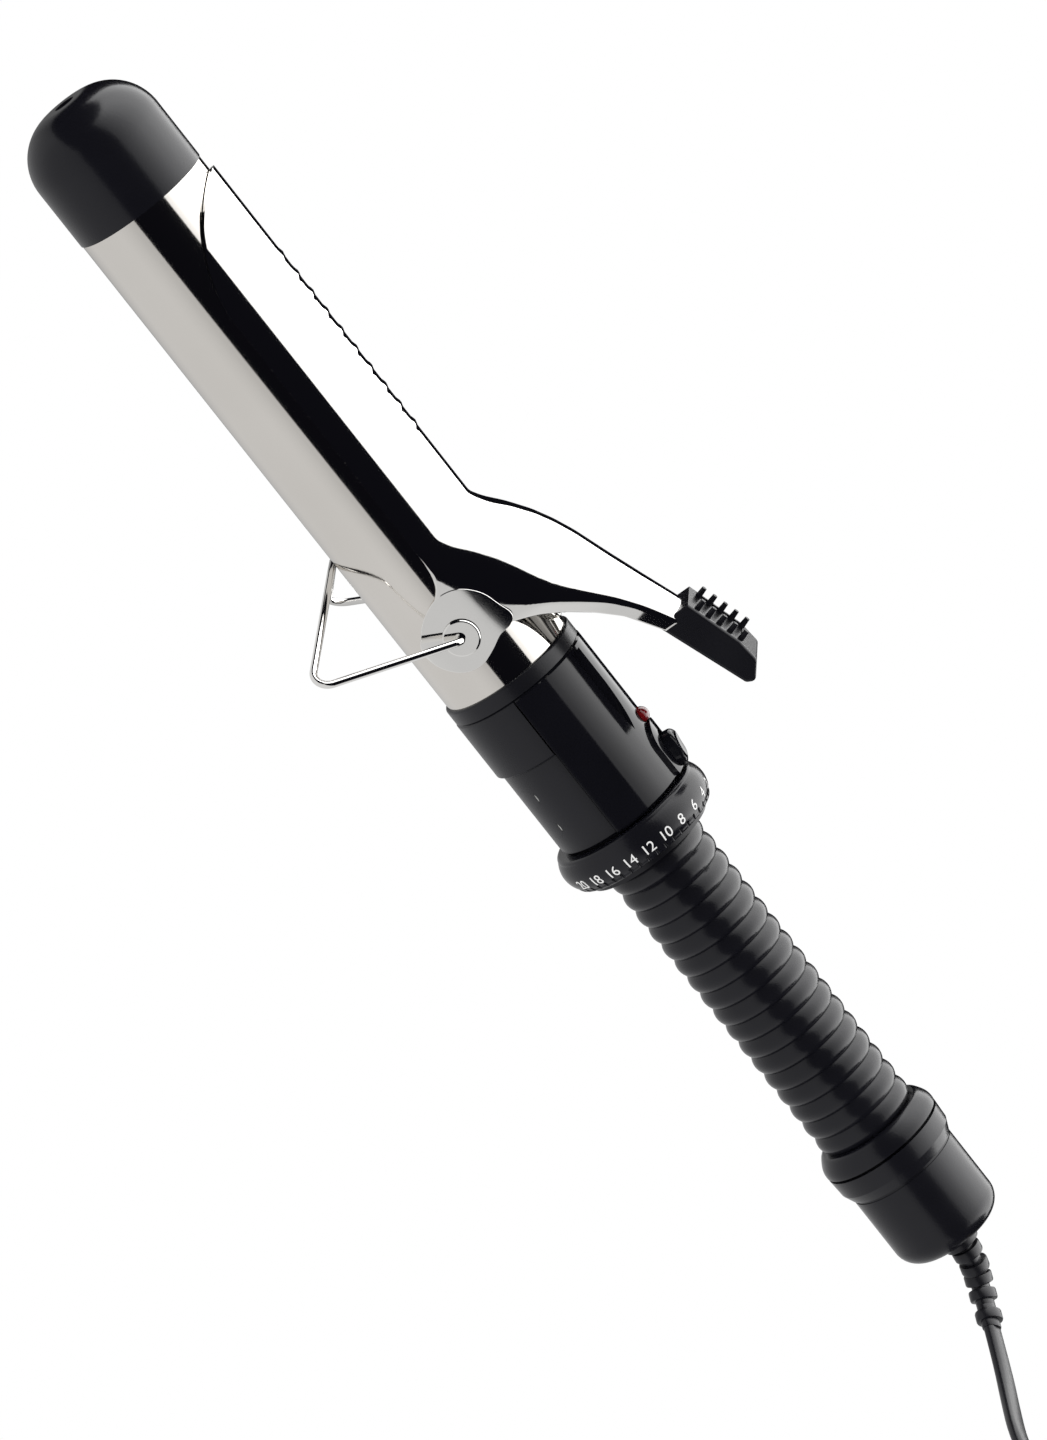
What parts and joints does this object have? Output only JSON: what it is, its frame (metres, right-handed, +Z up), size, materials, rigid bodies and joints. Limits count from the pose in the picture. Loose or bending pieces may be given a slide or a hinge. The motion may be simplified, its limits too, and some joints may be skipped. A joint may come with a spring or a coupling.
{
  "type": "curling iron",
  "caption": "Electric hair-curling iron: heated tube barrel with a sprung spoon clip, folding wire stand, dial-controlled ribbed handle and mains cord.",
  "frame": {"origin": "on the surface the iron stands on, at the middle of the footprint of the iron without its cord", "axes": "+X runs level towards the barrel's tip, +Z is up and on the clip's side, +Y is level, to the side that shows the dial's numerals"},
  "size_m": [0.4502, 0.0977, 0.0727],
  "materials": {
    "tip_plastic": "satin black phenolic",
    "chrome": "mirror chrome on steel",
    "barrel_chrome": "satin chrome on steel",
    "gloss_black": "gloss black moulding",
    "matte_black": "fine-textured black moulding",
    "grip_black": "soft satin black",
    "dial_black": "satin black, white numerals",
    "red_lens": "clear red",
    "steel": "plain bright steel",
    "aluminium": "extruded",
    "ceramic": "fired, unglazed",
    "insulator": "heat-proof phenolic",
    "board": "circuit board",
    "copper_lead": "sleeved wire",
    "brass": "bright",
    "cord_black": "satin black flexible sheath",
    "white_print": "printed white",
    "lamp_glass": "clear"
  },
  "bodies": {
    "handle": {"cool_tip": "tip_plastic", "tip_plug": "steel", "tip_screw": "steel", "barrel_tube": "barrel_chrome", "heater_spreader_upper": "aluminium", "heater_spreader_lower": "aluminium", "heater_plate": "ceramic", "core_clips": "steel", "thermal_fuse": "steel", "temperature_sensor": "lamp_glass", "barrel_bush": "insulator", "hinge_rivets": "chrome", "clip_spring": "steel", "spring_post": "chrome", "front_collar": "matte_black", "upper_housing": "gloss_black", "lower_housing": "matte_black", "housing_screws": "steel", "screw_covers": "matte_black", "indicator_lens": "red_lens", "indicator_lamp": "lamp_glass", "switch_body": "matte_black", "control_board": "board", "dial_track": "copper_lead", "dial_retainer": "matte_black", "handle_core": "matte_black", "ribbed_grip": "grip_black", "tail_cap": "matte_black", "tail_screw": "steel", "cord_clamp": "insulator", "mains_leads": "copper_lead", "heater_leads": "copper_lead", "strain_relief": "cord_black", "power_cord": "cord_black", "cord_coil": "cord_black", "coil_tie": "cord_black", "plug_lead": "cord_black", "plug_body": "cord_black", "plug_blades": "brass"},
    "clip": {"clip_lever": "chrome", "thumb_rest": "matte_black"},
    "stand": {"stand_wire": "chrome"},
    "dial": {"dial_ring": "dial_black", "dial_wiper": "brass"},
    "rocker": {"rocker_switch": "gloss_black"}
  },
  "joints": [
    {"name": "clip_hinge", "type": "hinge", "parent": "handle", "child": "clip", "pos_m": [0.01944, 0, 0.02837], "axis": [0, -1, 0], "range_deg": [0, 21], "stiffness_Nm_per_rad": 0.4, "springref_deg": -20.05, "deforming": ["clip_spring"]},
    {"name": "stand_hinge", "type": "hinge", "parent": "handle", "child": "stand", "pos_m": [0.01944, 0, 0.02837], "axis": [0, 1, 0], "range_deg": [0, 106]},
    {"name": "dial_turn", "type": "hinge", "parent": "handle", "child": "dial", "pos_m": [-0.04327, 0, 0.02293], "axis": [0.9962, 0, 0.0865], "range_deg": [-15, 165]},
    {"name": "rocker_tilt", "type": "hinge", "parent": "handle", "child": "rocker", "pos_m": [-0.03267, 0, 0.03669], "axis": [0, 1, 0], "range_deg": [0, 14]}
  ]
}
